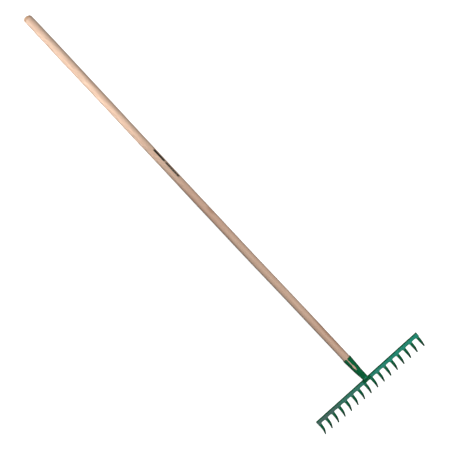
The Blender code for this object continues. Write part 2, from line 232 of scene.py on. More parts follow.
def give_thickness(piece, thickness):
    """Solidify about the middle surface, then round the rim's edges with a Bevel."""
    wall = piece.modifiers.new("wall", "SOLIDIFY")
    wall.thickness = thickness
    wall.offset = 0.0
    edges = piece.modifiers.new("rounded_edges", "BEVEL")
    edges.width = EDGE_RADIUS
    edges.segments = 2
    edges.limit_method = "ANGLE"
    edges.angle_limit = math.radians(55.0)
    edges.harden_normals = True


def place(piece, slot_name, *nodes):
    """Hide the CAD nodes that a piece stands for and hang the piece on the root body; slot_name is not
    used.
    """
    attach(piece, "root")
    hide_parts(*nodes)


def add_node(tree, kind, values=None, links=None, **properties):
    """Add one node: its inputs' values and links, its properties and, on a colour ramp, its stops."""
    node = tree.nodes.new(kind)
    stops = properties.pop("stops", None)
    for name, value in properties.items():
        setattr(node, name, value)
    if stops:
        while len(node.color_ramp.elements) < len(stops):
            node.color_ramp.elements.new(0.5)
        for element, (position, value) in zip(node.color_ramp.elements, stops):
            element.position = position
            element.color = value
    for name, value in (values or {}).items():
        node.inputs[name].default_value = value
    for name, source in (links or {}).items():
        tree.links.new(source, node.inputs[name])
    return node


def new_material(name):
    """Make a material; return it with its node tree and its Principled shader."""
    material = bpy.data.materials.new(name)
    material.use_nodes = True
    return material, material.node_tree, material.node_tree.nodes["Principled BSDF"]


# ---------- Materials ----------


def grey(value):
    """A grey for a ramp's stop."""
    return (value, value, value, 1.0)


def stretched(tree, width, run, turn=(0.0, 0.0, 0.0), shift=(0.0, 0.0, 0.0)):
    """Object coordinates counted in features that are width across and run long along Y."""
    coordinates = add_node(tree, "ShaderNodeTexCoord")
    return add_node(tree, "ShaderNodeMapping",
                    {"Scale": (1 / width, 1 / run, 1 / width), "Rotation": turn, "Location": shift},
                    {"Vector": coordinates.outputs["Object"]}).outputs["Vector"]


def blob(tree, centre, size):
    """1 at a centre, falling to 0 over an ellipsoid of the given half sizes."""
    coordinates = add_node(tree, "ShaderNodeTexCoord")
    space = add_node(tree, "ShaderNodeMapping", {"Location": centre, "Scale": size},
                     {"Vector": coordinates.outputs["Object"]}, vector_type="TEXTURE")
    return add_node(tree, "ShaderNodeTexGradient", None, {"Vector": space.outputs["Vector"]},
                    gradient_type="SPHERICAL").outputs["Fac"]


def along_handle(tree):
    """0 at the handle's top end and 1 at the socket's mouth."""
    coordinates = add_node(tree, "ShaderNodeTexCoord")
    split = add_node(tree, "ShaderNodeSeparateXYZ", links={"Vector": coordinates.outputs["Object"]})
    return add_node(tree, "ShaderNodeMapRange", {"From Min": HANDLE_LOW.y, "From Max": SOCKET_LOW.y},
                    {"Value": split.outputs["Y"]}).outputs[0]


def printed_mask(tree, bow):
    """1 on the printed bars: two strips along the handle, the second broken into short blocks.

    A strip is a band of angle about the bowed handle's axis, and a bar is a span of Y, each given by its
    middle and its half width.
    """
    strip_band = (math.radians(44.5), 0.0036 / 0.0131)
    solid_bar, broken_bar = (-0.187, 0.024), (-0.127, 0.031)
    block_pitch, block_length = 0.0097, 0.00834
    coordinates = add_node(tree, "ShaderNodeTexCoord")
    split = add_node(tree, "ShaderNodeSeparateXYZ", links={"Vector": coordinates.outputs["Object"]})
    along = split.outputs["Y"]
    sideways = add_node(tree, "ShaderNodeMath", {0: bow}, {1: split.outputs["X"]}, operation="SUBTRACT")
    upwards = add_node(tree, "ShaderNodeMath", {1: AXIS_HEIGHT}, {0: split.outputs["Z"]},
                       operation="SUBTRACT")
    angle = add_node(tree, "ShaderNodeMath", None, {0: sideways.outputs[0], 1: upwards.outputs[0]},
                     operation="ARCTAN2").outputs[0]
    strip, solid, broken = (
        add_node(tree, "ShaderNodeMath", {1: middle, 2: half}, {0: value}, operation="COMPARE").outputs[0]
        for value, middle, half in ((angle, *strip_band), (along, *solid_bar), (along, *broken_bar)))
    within = add_node(tree, "ShaderNodeMath", {1: block_pitch}, {0: along}, operation="FLOORED_MODULO")
    blocks = add_node(tree, "ShaderNodeMath", {1: block_length}, {0: within.outputs[0]},
                      operation="LESS_THAN")
    bars = add_node(tree, "ShaderNodeMath", None, {0: broken, 1: blocks.outputs[0], 2: solid},
                    operation="MULTIPLY_ADD")
    return add_node(tree, "ShaderNodeMath", None, {0: strip, 1: bars.outputs[0]},
                    operation="MULTIPLY").outputs[0]


def beech_material(settings):
    """Beech, turned and sanded, without varnish: pale pink-brown, dull, with fine streaks and flecks.

    Growth rings are rings about a pith beside the handle, so they show as long streaks on the sides and
    as arcs on the end. Streaks and flecks are noise stretched along the handle.
    """
    material, tree, shader = new_material("beech")
    pale, deep, fleck = linear(settings.pale), linear(settings.deep), linear(settings.fleck)
    pith = (0.046, 0.0, 0.031)
    log_lean = (math.radians(0.7), 0.0, math.radians(0.9))
    # The wave texture repeats every pi / 10 of its own units
    ring_scale = settings.ring_width / (math.pi / 10)
    ring_space = stretched(tree, ring_scale, ring_scale, log_lean,
                           tuple(value / ring_scale for value in pith))
    rings = add_node(tree, "ShaderNodeTexWave",
                     {"Scale": 1.0, "Distortion": 1.6, "Detail": 2.0, "Detail Scale": 0.5},
                     {"Vector": ring_space}, wave_type="RINGS", rings_direction="Y", wave_profile="SIN")
    streaks = add_node(tree, "ShaderNodeTexNoise", {"Scale": 1.0, "Detail": 4.0, "Roughness": 0.6},
                       {"Vector": stretched(tree, 0.0022, settings.fibre_length)})
    fibres = add_node(tree, "ShaderNodeTexNoise", {"Scale": 1.0, "Detail": 3.0, "Roughness": 0.65},
                      {"Vector": stretched(tree, 0.0005, settings.fibre_length / 6)})
    patches = add_node(tree, "ShaderNodeTexNoise", {"Scale": 1.0, "Detail": 2.0},
                       {"Vector": stretched(tree, 0.020, 0.120)})
    wood = add_node(tree, "ShaderNodeMix", {6: pale, 7: deep}, {0: streaks.outputs["Fac"]},
                    data_type="RGBA").outputs[2]
    ring_shade = add_node(tree, "ShaderNodeMapRange", {"To Max": 0.34}, {"Value": rings.outputs["Fac"]})
    patch_shade = add_node(tree, "ShaderNodeMapRange",
                           {"From Min": 0.35, "From Max": 0.70, "To Max": 0.45},
                           {"Value": patches.outputs["Fac"]})
    # Ray flecks are 1 to 3 mm long; they are drawn up to 5 mm long, to show from a few metres away
    fleck_cells = add_node(tree, "ShaderNodeTexVoronoi", {"Scale": 1.0, "Randomness": 1.0},
                           {"Vector": stretched(tree, 0.0026, 0.011)}, feature="F1")
    fleck_shade = add_node(tree, "ShaderNodeValToRGB", None, {"Fac": fleck_cells.outputs["Distance"]},
                           stops=[(0.10, grey(0.55)), (0.24, grey(0.0))])
    for tone, share in ((deep, ring_shade), (deep, patch_shade), (fleck, fleck_shade)):
        wood = add_node(tree, "ShaderNodeMix", {7: tone}, {0: share.outputs[0], 6: wood},
                        data_type="RGBA").outputs[2]
    fibre_shade = add_node(tree, "ShaderNodeMapRange", {"To Min": 0.88, "To Max": 1.08},
                           {"Value": fibres.outputs["Fac"]})
    # The pole's colour drifts along its length: a painted highlight makes it palest on the dome and over
    # the top end, where the light falls strongest, with a thin dark ring just below the dome, and it is a
    # little redder in two stretches
    tone_and_top_highlight = add_node(tree, "ShaderNodeValToRGB", None, {"Fac": along_handle(tree)},
                     stops=[(0.0060, (1.0, 1.0, 0.88, 1.0)), (0.0082, (0.66, 0.50, 0.38, 1.0)),
                            (0.0108, (1.0, 0.98, 0.96, 1.0)), (0.13, (0.94, 0.91, 0.88, 1.0)),
                            (0.45, (0.93, 0.90, 0.87, 1.0)), (0.52, (0.91, 0.81, 0.77, 1.0)),
                            (0.60, (0.91, 0.81, 0.77, 1.0)), (0.67, (0.95, 0.91, 0.88, 1.0)),
                            (0.86, (0.95, 0.90, 0.87, 1.0)), (0.94, (0.90, 0.82, 0.78, 1.0))])
    for tint in (fibre_shade, tone_and_top_highlight):
        wood = add_node(tree, "ShaderNodeMix", {0: 1.0}, {6: wood, 7: tint.outputs[0]},
                        data_type="RGBA", blend_type="MULTIPLY").outputs[2]
    # Two stains: a short one just past the middle of the pole and a long one above the socket
    short_stain = blob(tree, (-0.008, 0.046, 0.029), (0.009, 0.022, 0.009))
    long_stain = blob(tree, (-0.011, 0.570, 0.022), (0.008, 0.110, 0.012))
    stains = add_node(tree, "ShaderNodeMath", None, {0: short_stain, 1: long_stain}, operation="ADD")
    stain_shade = add_node(tree, "ShaderNodeMapRange", {"From Max": 0.6, "To Max": 0.38},
                           {"Value": stains.outputs[0]})
    worn = add_node(tree, "ShaderNodeMapRange",
                    {"From Min": 0.25, "From Max": 0.65, "To Min": 1.0, "To Max": 0.90},
                    {"Value": fibres.outputs["Fac"]})
    print_mask = printed_mask(tree, settings.bow)
    print_shade = add_node(tree, "ShaderNodeMath", None, {0: print_mask, 1: worn.outputs[0]},
                           operation="MULTIPLY")
    for tone, share in ((fleck, stain_shade), (linear(settings.ink), print_shade)):
        wood = add_node(tree, "ShaderNodeMix", {7: tone}, {0: share.outputs[0], 6: wood},
                        data_type="RGBA").outputs[2]
    tree.links.new(wood, shader.inputs["Base Color"])
    roughness = add_node(tree, "ShaderNodeMapRange", {"To Min": 0.50, "To Max": 0.72},
                         {"Value": streaks.outputs["Fac"]})
    tree.links.new(roughness.outputs[0], shader.inputs["Roughness"])
    relief = add_node(tree, "ShaderNodeBump", {"Strength": 0.35, "Distance": 0.00012},
                      {"Height": fibres.outputs["Fac"]})
    tree.links.new(relief.outputs["Normal"], shader.inputs["Normal"])
    shader.inputs["IOR"].default_value = 1.48
    shader.inputs["Specular IOR Level"].default_value = 0.35
    return material


def enamel_material(name, paint, relief_height=0.00010):
    """Stoving enamel over steel: deep green and glossy, with fine orange peel and a few dust nibs."""
    material, tree, shader = new_material(name)
    base = linear(paint)
    darker = tuple(channel * 0.72 for channel in base[:3]) + (1.0,)
    clouds = add_node(tree, "ShaderNodeTexNoise", {"Scale": 1.0, "Detail": 3.0},
                      {"Vector": stretched(tree, 0.012, 0.012)})
    cloud_shade = add_node(tree, "ShaderNodeMapRange",
                           {"From Min": 0.35, "From Max": 0.75, "To Max": 0.6},
                           {"Value": clouds.outputs["Fac"]})
    green = add_node(tree, "ShaderNodeMix", {6: base, 7: darker}, {0: cloud_shade.outputs[0]},
                     data_type="RGBA").outputs[2]
    # Dust nibs 0.4 mm across, one every few millimetres
    nibs = add_node(tree, "ShaderNodeTexVoronoi", {"Scale": 1.0, "Randomness": 1.0},
                    {"Vector": stretched(tree, 0.0042, 0.0042)}, feature="F1")
    nib = add_node(tree, "ShaderNodeValToRGB", None, {"Fac": nibs.outputs["Distance"]},
                   stops=[(0.0, grey(1.0)), (0.09, grey(0.0))])
    # Orange peel: waves about 1.6 mm across
    peel = add_node(tree, "ShaderNodeTexNoise", {"Scale": 1.0, "Detail": 1.5, "Roughness": 0.4},
                    {"Vector": stretched(tree, 0.0016, 0.0016)})
    height = add_node(tree, "ShaderNodeMath", None, {0: peel.outputs["Fac"], 1: nib.outputs["Color"]},
                      operation="ADD")
    relief = add_node(tree, "ShaderNodeBump", {"Strength": 0.12, "Distance": relief_height},
                      {"Height": height.outputs[0]})
    tree.links.new(green, shader.inputs["Base Color"])
    tree.links.new(relief.outputs["Normal"], shader.inputs["Normal"])
    tree.links.new(relief.outputs["Normal"], shader.inputs["Coat Normal"])
    roughness = add_node(tree, "ShaderNodeMapRange", {"To Min": 0.15, "To Max": 0.26},
                         {"Value": clouds.outputs["Fac"]})
    tree.links.new(roughness.outputs[0], shader.inputs["Roughness"])
    shader.inputs["IOR"].default_value = 1.52
    shader.inputs["Coat Weight"].default_value = 0.3
    shader.inputs["Coat Roughness"].default_value = 0.16
    shader.inputs["Coat IOR"].default_value = 1.52
    return material


def zinc_material(settings):
    """Zinc-plated steel with a clear passivation: pale grey metal, satin, with a faint mottle."""
    material, tree, shader = new_material("zinc_plated_steel")
    mottle = add_node(tree, "ShaderNodeTexNoise", {"Scale": 1.0, "Detail": 4.0},
                      {"Vector": stretched(tree, 0.0015, 0.0015)})
    base = linear(settings.zinc)
    yellowed = (base[0] * 0.88, base[1] * 0.84, base[2] * 0.70, 1.0)
    metal = add_node(tree, "ShaderNodeMix", {6: base, 7: yellowed}, {0: mottle.outputs["Fac"]},
                     data_type="RGBA").outputs[2]
    tree.links.new(metal, shader.inputs["Base Color"])
    roughness = add_node(tree, "ShaderNodeMapRange", {"To Min": 0.24, "To Max": 0.46},
                         {"Value": mottle.outputs["Fac"]})
    tree.links.new(roughness.outputs[0], shader.inputs["Roughness"])
    shader.inputs["Metallic"].default_value = 1.0
    return material


# ---------- Handle ----------


def handle_radius(settings, from_top):
    """Bare radius: smooth steps from top to waist to foot, and half a sine of swell below the top."""
    share = np.clip((from_top - settings.dome_radius) / settings.swell_run, 0.0, 1.0)
    taper = smooth_step((from_top - settings.taper_from_top) / settings.taper_run)
    neck_start = HANDLE_HIGH.y - HANDLE_LOW.y - settings.insertion - settings.neck_run
    neck = smooth_step((from_top - neck_start) / settings.neck_run)
    diameter = settings.top_diameter + (settings.waist_diameter - settings.top_diameter) * taper
    diameter = diameter + (settings.foot_diameter - settings.waist_diameter) * neck
    return diameter / 2 + settings.swell * np.sin(np.pi * share)


def socket_hollow(socket, from_mouth):
    """Radius of the round hollow: a straight line from the mouth's radius to the foot's."""
    mouth = bpy.context.scene.rake_handle.foot_diameter / 2 + socket.clearance + socket.sheet / 2
    foot = (socket.foot_width - socket.sheet) / 2
    return mouth + (foot - mouth) * from_mouth / socket.span - socket.sheet / 2


def handle_points(settings, socket):
    """Grid of points, one row for each place along the handle and one column for each of 72 angles.

    A row is a circle of the profile's radius. Two slow waves make it a little out of round, as a turned
    pole is, and a smooth step sideways gives it a slight bow. The profile is a domed end (a quarter
    circle, sheared by a slanted cut), the bare taper, the cone inside the socket and a chamfer.
    """
    total = HANDLE_HIGH.y - HANDLE_LOW.y
    free = total - settings.insertion
    dome, chamfer, shoulder = settings.dome_radius, 0.0015, 0.0004
    turn = np.linspace(0.0, math.pi / 2, 13)
    dome_along = dome * (1 - np.cos(turn))
    dome_radius = settings.top_diameter / 2 - dome + dome * np.sin(turn)
    bare_along = np.linspace(dome, free - shoulder, 200)[1:]
    bare_radius = handle_radius(settings, bare_along)
    inner_along = np.linspace(free, total - chamfer, 12)
    inner_radius = socket_hollow(socket, inner_along - free) - socket.clearance
    along = np.concatenate(([0.0], dome_along, bare_along, inner_along, [total, total]))
    radius = np.concatenate(([0.0], dome_radius, bare_radius, inner_radius,
                             [inner_radius[-1] - chamfer, 0.0]))
    angle = np.linspace(0.0, 2 * math.pi, 72, endpoint=False)[None, :]
    y = along[:, None]
    wave = 0.00012 * np.sin(2 * angle + 9.0 * y) + 0.00008 * np.sin(3 * angle - 23.0 * y)
    wave_fade, cut_fade = 0.02, 0.03
    bare = smooth_step((y - dome) / wave_fade) * smooth_step((free - y) / wave_fade)
    reach = radius[:, None] + wave * bare
    # The pole runs true for 8% of its bare length above the socket, and swings out over the next 27%
    bow = settings.bow * smooth_step(((free - y) / free - 0.08) / 0.27)
    side = reach * np.cos(angle)
    cut = settings.end_cut - settings.end_slant * side / (settings.top_diameter / 2)
    y = HANDLE_LOW.y + y + cut * (1 - smooth_step(y / cut_fade))
    return np.stack((bow + side, y, AXIS_HEIGHT + reach * np.sin(angle)), axis=-1)


class RAKE_OT_handle(bpy.types.Operator):
    """Build the turned wooden handle"""

    bl_idname = "rake.handle"
    bl_label = "Handle"

    def execute(self, context):
        scene = context.scene
        points = handle_points(scene.rake_handle, scene.rake_socket)
        faces = grid_faces(points.shape[0], points.shape[1], around=True)
        piece = add_piece("handle_wood", points, faces, beech_material(scene.rake_handle))
        place(piece, "beech", "handle")
        return {"FINISHED"}


# ---------- Socket ----------


def seam_gap(settings, from_mouth):
    """Width of the seam: even, then half a skewed sine for the window, then a smooth step to shut."""
    window_skew, shut_run = 1.7, 0.014
    along = np.clip((from_mouth - settings.window_start) / settings.window_length, 0.0, 1.0)
    base = settings.seam_gap + (settings.closed_gap - settings.seam_gap) * along
    window_end = settings.window_start + settings.window_length
    shut = (settings.closed_gap - settings.shut_gap) * smooth_step((from_mouth - window_end) / shut_run)
    bulge = np.sin(np.pi * along ** window_skew)
    return base - shut + (settings.window_width - settings.seam_gap) * bulge


def oval_point(half_width, half_height, travel):
    """A point of a flat-sided oval at a distance from its top middle: flat, half circle, flat."""
    flat = half_width - half_height
    turn = np.clip((travel - flat) / half_height, 0.0, math.pi)
    over = np.clip(travel - flat - math.pi * half_height, 0.0, None)
    x = np.minimum(travel, flat) + half_height * np.sin(turn) - over
    return x, half_height * np.cos(turn)


def socket_points(settings):
    """Grid of the rolled sheet's middle surface: rows from mouth to lip, columns from edge to edge.

    A row is a flat-sided oval: round in the upper part, then squashed by smooth steps to the height of
    the foot and of the lip, with a parabola of crown on the front. A column's parameter runs from -1 to
    1 round the back. The corners at the mouth are cut back by a quarter circle.
    """
    rows, columns = 96, 61
    side = np.linspace(-1.0, 1.0, columns)[None, :]
    share = np.linspace(0.0, 1.0, rows)[:, None]
    reach = settings.span + settings.lip_reach
    edge_run = (1.0 - np.abs(side)) * math.pi * SOCKET_HIGH.x
    corner = settings.corner
    cut = corner * (1 - np.sqrt(1 - np.clip(1 - edge_run / corner, 0.0, 1.0) ** 2))
    from_mouth = cut + (reach - cut) * share
    y = from_mouth - settings.span
    round_radius = socket_hollow(settings, np.minimum(from_mouth, settings.span)) + settings.sheet / 2
    insertion = bpy.context.scene.rake_handle.insertion
    foot_radius = (settings.foot_height - settings.sheet) / 2
    lip_radius = (settings.sheet + settings.lip_gap) / 2
    squash = smooth_step((y + settings.span - insertion) / (settings.span - insertion))
    half_height = round_radius + (foot_radius - round_radius) * squash
    lip = smooth_step(y / settings.lip_reach)
    half_height = half_height + (lip_radius - foot_radius) * lip
    middle = AXIS_HEIGHT - round_radius + half_height
    girth = 2 * (round_radius - half_height) + math.pi * half_height
    start = seam_gap(settings, from_mouth) / 2
    travel = girth - (girth - start) * np.abs(side)
    x, z = oval_point(round_radius, half_height, travel)
    front = np.clip(z / half_height, 0.0, 1.0)
    z = z + settings.crown * squash * (1 - lip) * front * (1 - (x / round_radius) ** 2)
    x = np.sign(side) * x - settings.foot_lean * squash
    return np.stack((x, BAR_BACK + y, middle + z), axis=-1)


class RAKE_OT_socket(bpy.types.Operator):
    """Build the rolled socket with its open seam"""

    bl_idname = "rake.socket"
    bl_label = "Socket"

    def execute(self, context):
        settings = context.scene.rake_socket
        points = socket_points(settings)
        material = enamel_material("green_enamel_socket", settings.paint)
        piece = add_piece("socket_sheet", points, grid_faces(*points.shape[:2]), material)
        give_thickness(piece, settings.sheet)
        place(piece, "socket_enamel", "socket")
        return {"FINISHED"}


# ---------- Head ----------


def bend(y, z, start, radius, angle, direction):
    """Carry points of a flat sheet round a bend that begins at start.

    Beyond start a point turns about the bend's centre by run / radius, up to angle, and then goes
    straight on. direction 1 bends the part beyond start up, and -1 bends the part before it down.
    """
    run = np.clip((y - start) * direction, 0.0, None)
    turn = np.minimum(run / radius, angle)
    straight = run - turn * radius
    arm = radius - z * direction
    bent_y = start + direction * (arm * np.sin(turn) + straight * np.cos(turn))
    bent_z = direction * (radius - arm * np.cos(turn) + straight * np.sin(turn))
    past = run > 0
    return np.where(past, bent_y, y), np.where(past, bent_z, z)


def tooth_half_width(settings, run):
    """Half width of a tooth: a straight taper, a quarter-circle fillet at the root, a rounded point."""
    narrowing = 0.94
    taper = settings.root_width + (settings.tip_width - settings.root_width) * run / settings.tooth_length
    corner = np.clip(1 - run / settings.gullet_radius, 0.0, 1.0)
    fillet = settings.gullet_radius * (1 - np.sqrt(1 - corner ** 2))
    past_shoulder = run - settings.tooth_length + settings.point_length
    into_point = np.clip(past_shoulder / settings.point_length, 0.0, 1.0)
    return (taper / 2 + fillet) * np.sqrt(1 - narrowing * into_point ** 2)


def head_points(settings):
    """Points and faces of the head's middle surface.

    The bar is a grid of X by flat distance. Its last row has the columns of every tooth's first row, so
    each tooth's grid is joined to it. Then the flange is folded down and the teeth are curled up. A tooth
    is dished by a parabola across its width, each tip stands a little out of line, and the bar has a slow
    wave along it.
    """
    across, between = 9, 8
    dish_in, dish_out = 0.012, 0.12
    bar_wave = 0.00012
    count = settings.teeth
    centres = (np.arange(count) - (count - 1) / 2) * settings.pitch
    root_half = float(tooth_half_width(settings, np.zeros(1))[0])
    tooth_columns = np.linspace(-1.0, 1.0, across)
    fold_start = settings.sheet / 2 + settings.fold_radius
    fold_run = settings.fold_radius * math.pi / 2
    edge = fold_start - fold_run - (settings.flange_depth - fold_start)

    row_half = centres[-1] + settings.root_width / 2
    bar_low, bar_high = -row_half - settings.end_margins[1], row_half + settings.end_margins[0]
    gaps = [np.linspace(left + root_half, right - root_half, between + 1)[1:-1]
            for left, right in zip(centres[:-1], centres[1:])]
    tooth_x = np.clip(centres[:, None] + tooth_columns[None, :] * root_half, bar_low, bar_high)
    columns = [np.array([bar_low])]
    for index in range(count):
        columns.append(tooth_x[index])
        if index < count - 1:
            columns.append(gaps[index])
    columns.append(np.array([bar_high]))
    bar_x = np.unique(np.round(np.concatenate(columns), 9))
    bar_y = np.concatenate((np.linspace(edge, fold_start - fold_run, 4)[:-1],
                            np.linspace(fold_start - fold_run, fold_start, 9)[:-1],
                            np.linspace(fold_start, settings.face_width, 8)))
    bar = np.stack(np.broadcast_arrays(bar_x[None, :], bar_y[:, None], 0.0), axis=-1)

    fillet_turn = np.linspace(0.0, math.pi / 2, 7)
    fillet_run = settings.gullet_radius * (1 - np.cos(fillet_turn))
    shoulder = settings.tooth_length - settings.point_length
    body_run = np.linspace(settings.gullet_radius, shoulder, 32)[1:]
    point_run = shoulder + settings.point_length * np.sin(np.linspace(0.0, math.pi / 2, 7))[1:]
    run = np.concatenate((fillet_run, body_run, point_run))
    half = tooth_half_width(settings, run)
    random = np.random.RandomState(7)
    lean = random.uniform(-1.0, 1.0, count) * settings.unevenness
    share = run / settings.tooth_length
    x = centres[:, None, None] + half[None, :, None] * tooth_columns[None, None, :]
    x = np.clip(x, bar_low, bar_high)
    x = x + lean[:, None, None] * (share[None, :, None] ** 2)
    hollow = settings.trough * smooth_step(run / dish_in) * smooth_step((1 - share) / dish_out)
    z = hollow[None, :, None] * (tooth_columns[None, None, :] ** 2 - 0.5)
    tooth = np.stack(np.broadcast_arrays(x, settings.face_width + run[None, :, None], z), axis=-1)

    points = np.concatenate((bar.reshape(-1, 3), tooth.reshape(-1, 3)))
    faces = [grid_faces(len(bar_y), len(bar_x))]
    for index in range(count):
        first = bar.size // 3 + index * len(run) * across
        faces.append(grid_faces(len(run), across, first))
    x, y, z = points.T
    y, z = bend(y, z, settings.face_width, settings.bend_radius, settings.bend_angle, 1)
    y, z = bend(y, z, fold_start, settings.fold_radius, math.pi / 2, -1)
    z = z + bar_wave * np.sin(x * 61.0 + 0.7) * (y < settings.face_width)
    middle = settings.flange_depth - settings.sheet / 2
    return np.stack((x, BAR_BACK + y, middle + z), axis=-1), np.concatenate(faces)


class RAKE_OT_head(bpy.types.Operator):
    """Build the pressed head with its folded flange and curved teeth"""

    bl_idname = "rake.head"
    bl_label = "Head"

    def execute(self, context):
        settings = context.scene.rake_head
        points, faces = head_points(settings)
        material = enamel_material("green_enamel_head", settings.paint)
        piece = add_piece("head_sheet", points, faces, material)
        give_thickness(piece, settings.sheet)
        place(piece, "head_enamel", "rake_head")
        return {"FINISHED"}


# ---------- Welds ----------


def bead_points(start, end, width, height, ripple, seed):
    """Grid of a weld bead laid from start to end: rows along it, columns round it.

    A section is half an ellipse with a flat underside. Its size swells from nothing at both ends by the
    root of 1 - |u| ** 2.6. Slow sine waves make it lumpy and bend it from side to side, a shallow
    rectified sine gives one step for each ripple, and the crown leans forward by half a ripple.
    """
    start, end = np.array(start), np.array(end)
    run = np.linalg.norm(end - start)
    along = (end - start) / run
    across = np.array((-along[1], along[0], 0.0))
    share = np.linspace(0.0, 1.0, 65)
    angle = np.linspace(0.0, 2 * math.pi, 33)[:-1]
    first, second, third = np.random.RandomState(seed).uniform(0, 2 * math.pi, 3)
    swell = np.sqrt(np.clip(1 - np.abs(2 * share - 1) ** 2.6, 0.0, 1.0))
    lumps = 1 + 0.10 * np.sin(share * 7.0 + first) + 0.05 * np.sin(share * 15.0 + second)
    steps = 1 - 0.03 * np.abs(np.sin(math.pi * share * run / ripple))
    scale = (swell * lumps * steps)[:, None]
    side = np.cos(angle)[None, :] * scale * width / 2
    side = side + (0.04 * width * np.sin(share * 9.0 + third) * swell)[:, None]
    underside = -0.12
    rise = np.clip(np.sin(angle), underside, None)[None, :] * scale * height
    middle = start + (end - start) * share[:, None]
    lean = (1 - np.cos(angle) ** 2)[None, :] * ripple * 0.5 * swell[:, None]
    points = middle[:, None, :] + side[..., None] * across + lean[..., None] * along
    points[..., 2] += rise
    return points


class RAKE_OT_welds(bpy.types.Operator):
    """Build the three weld beads round the socket's foot"""

    bl_idname = "rake.welds"
    bl_label = "Welds"

    def execute(self, context):
        settings = context.scene.rake_weld
        material = enamel_material("green_enamel_weld", settings.paint, relief_height=0.00022)
        width, height = BEAD_HIGH.x - BEAD_LOW.x, BEAD_HIGH.z - BEAD_LOW.z
        low, high, base = BEAD_LOW.y, BEAD_HIGH.y, BEAD_LOW.z
        front_width = FRONT_BEAD_HIGH.y - FRONT_BEAD_LOW.y
        # Middle lines and sizes in shares of the plain beads. All three run under the sheet and out to
        # the bar's gullets, and the right one is the fattest
        left, right = BEAD_HIGH.x - 0.62 * width, -BEAD_HIGH.x + 0.45 * width
        front, overrun = (FRONT_BEAD_LOW.y + FRONT_BEAD_HIGH.y) / 2 - 0.10 * width, 0.2 * width
        beads = (
            ("left", (left, low), (left, high), 1.25 * width, height, 3),
            ("right", (right, low), (right + 0.1 * width, high), 1.6 * width, 1.15 * height, 11),
            ("front", (FRONT_BEAD_LOW.x - overrun, front), (FRONT_BEAD_HIGH.x + overrun, front),
             1.5 * front_width, 0.85 * height, 5),
        )
        for side, start, end, across, rise, seed in beads:
            points = bead_points((*start, base), (*end, base), across, rise, settings.ripple, seed)
            faces = grid_faces(*points.shape[:2], around=True)
            piece = add_piece("weld_" + side, points, faces, material)
            place(piece, "weld_enamel", "weld_bead_" + side)
        return {"FINISHED"}


# ---------- Screw ----------


def screw_head_points(settings, radius, seat):
    """Polar grid of the domed head: a quarter ellipse with a smooth-sided slot across the middle."""
    ring = np.linspace(0.0, 1.0, 34)[:, None]
    angle = np.linspace(0.0, 2 * math.pi, 96, endpoint=False)[None, :]
    x, y = ring * radius * np.cos(angle), ring * radius * np.sin(angle)
    dome = settings.head_height * np.sqrt(np.clip(1 - (ring * 0.995) ** 2, 0.0, 1.0)) + 0.0 * angle
    slot_edge = 0.00012
    into_slot = smooth_step((settings.slot_width / 2 + slot_edge - np.abs(x)) / (2 * slot_edge))
    depth = np.minimum(settings.slot_depth, dome) * into_slot
    top = np.stack((x, y, -(dome - depth)), axis=-1)
    under = np.stack((x[::-1], y[::-1], np.zeros_like(x)), axis=-1)
    points = np.concatenate((top, under))
    middle_y = (SCREW_LOW.y + SCREW_HIGH.y) / 2
    return points + np.array((0.0, middle_y, seat))


def screw_shank_points(settings, run, seat):
    """Grid of the threaded shank: a radius plus a triangle wave of angle and height, run to a point."""
    ridge_height = 0.00045
    radius = settings.shank_diameter / 2
    height = np.linspace(0.0, 1.0, 120)[:, None]
    angle = np.linspace(0.0, 2 * math.pi, 32, endpoint=False)[None, :]
    phase = height * run / settings.thread - angle / (2 * math.pi)
    crest = np.clip(1 - np.abs((phase % 1.0) - 0.5) * 5, 0.0, 1.0)
    ridge = crest * ridge_height * smooth_step(height / 0.2)
    point = np.clip((1 - height) / 0.2, 0.0, 1.0)
    reach = (radius - ridge_height + ridge) * point
    middle_y = (SCREW_LOW.y + SCREW_HIGH.y) / 2
    z = np.broadcast_to(seat + height * run, reach.shape)
    return np.stack((reach * np.cos(angle), middle_y + reach * np.sin(angle), z), axis=-1)


class RAKE_OT_screw(bpy.types.Operator):
    """Build the slotted fixing screw at the back of the socket"""

    bl_idname = "rake.screw"
    bl_label = "Screw"

    def execute(self, context):
        settings = context.scene.rake_screw
        seat = SCREW_LOW.z + settings.head_height
        head = screw_head_points(settings, (SCREW_HIGH.x - SCREW_LOW.x) / 2, seat)
        shank = screw_shank_points(settings, SCREW_HIGH.z - seat, seat)
        head_faces = grid_faces(*head.shape[:2], around=True)
        shank_faces = grid_faces(*shank.shape[:2], first=head.size // 3, around=True)
        base = head.size // 3 + np.arange(shank.shape[1])
        points = np.concatenate((head.reshape(-1, 3), shank.reshape(-1, 3)))
        faces = head_faces.tolist() + shank_faces.tolist() + [base.tolist()]
        piece = add_piece("fixing_screw_detailed", points, np.array(faces, dtype=object),
                          zinc_material(settings), smooth_angle=35.0)
        place(piece, "zinc", "fixing_screw")
        return {"FINISHED"}


# ---------- Stage ----------


def add_camera(settings):
    """Camera that looks down at the rake: its up direction is +Y turned about the line of sight."""
    data = bpy.data.cameras.new("camera")
    data.lens = settings.focal_length
    data.sensor_width = 36.0
    data.clip_end = 300.0
    camera = bpy.data.objects.new("camera", data)
    bpy.context.scene.collection.objects.link(camera)
    datum = Vector((0.0, BAR_BACK, bpy.context.scene.rake_head.flange_depth))
    spot, aim = datum + Vector(settings.camera_place), datum + Vector(settings.camera_aim)
    forward = (aim - spot).normalized()
    side = forward.cross(Vector((0.0, 1.0, 0.0))).normalized()
    up = side.cross(forward)
    turned = up * math.cos(settings.camera_turn) + side * math.sin(settings.camera_turn)
    right = forward.cross(turned)
    turn = Matrix((right, turned, -forward)).transposed().to_4x4()
    camera.matrix_world = Matrix.Translation(spot) @ turn
    bpy.context.scene.camera = camera


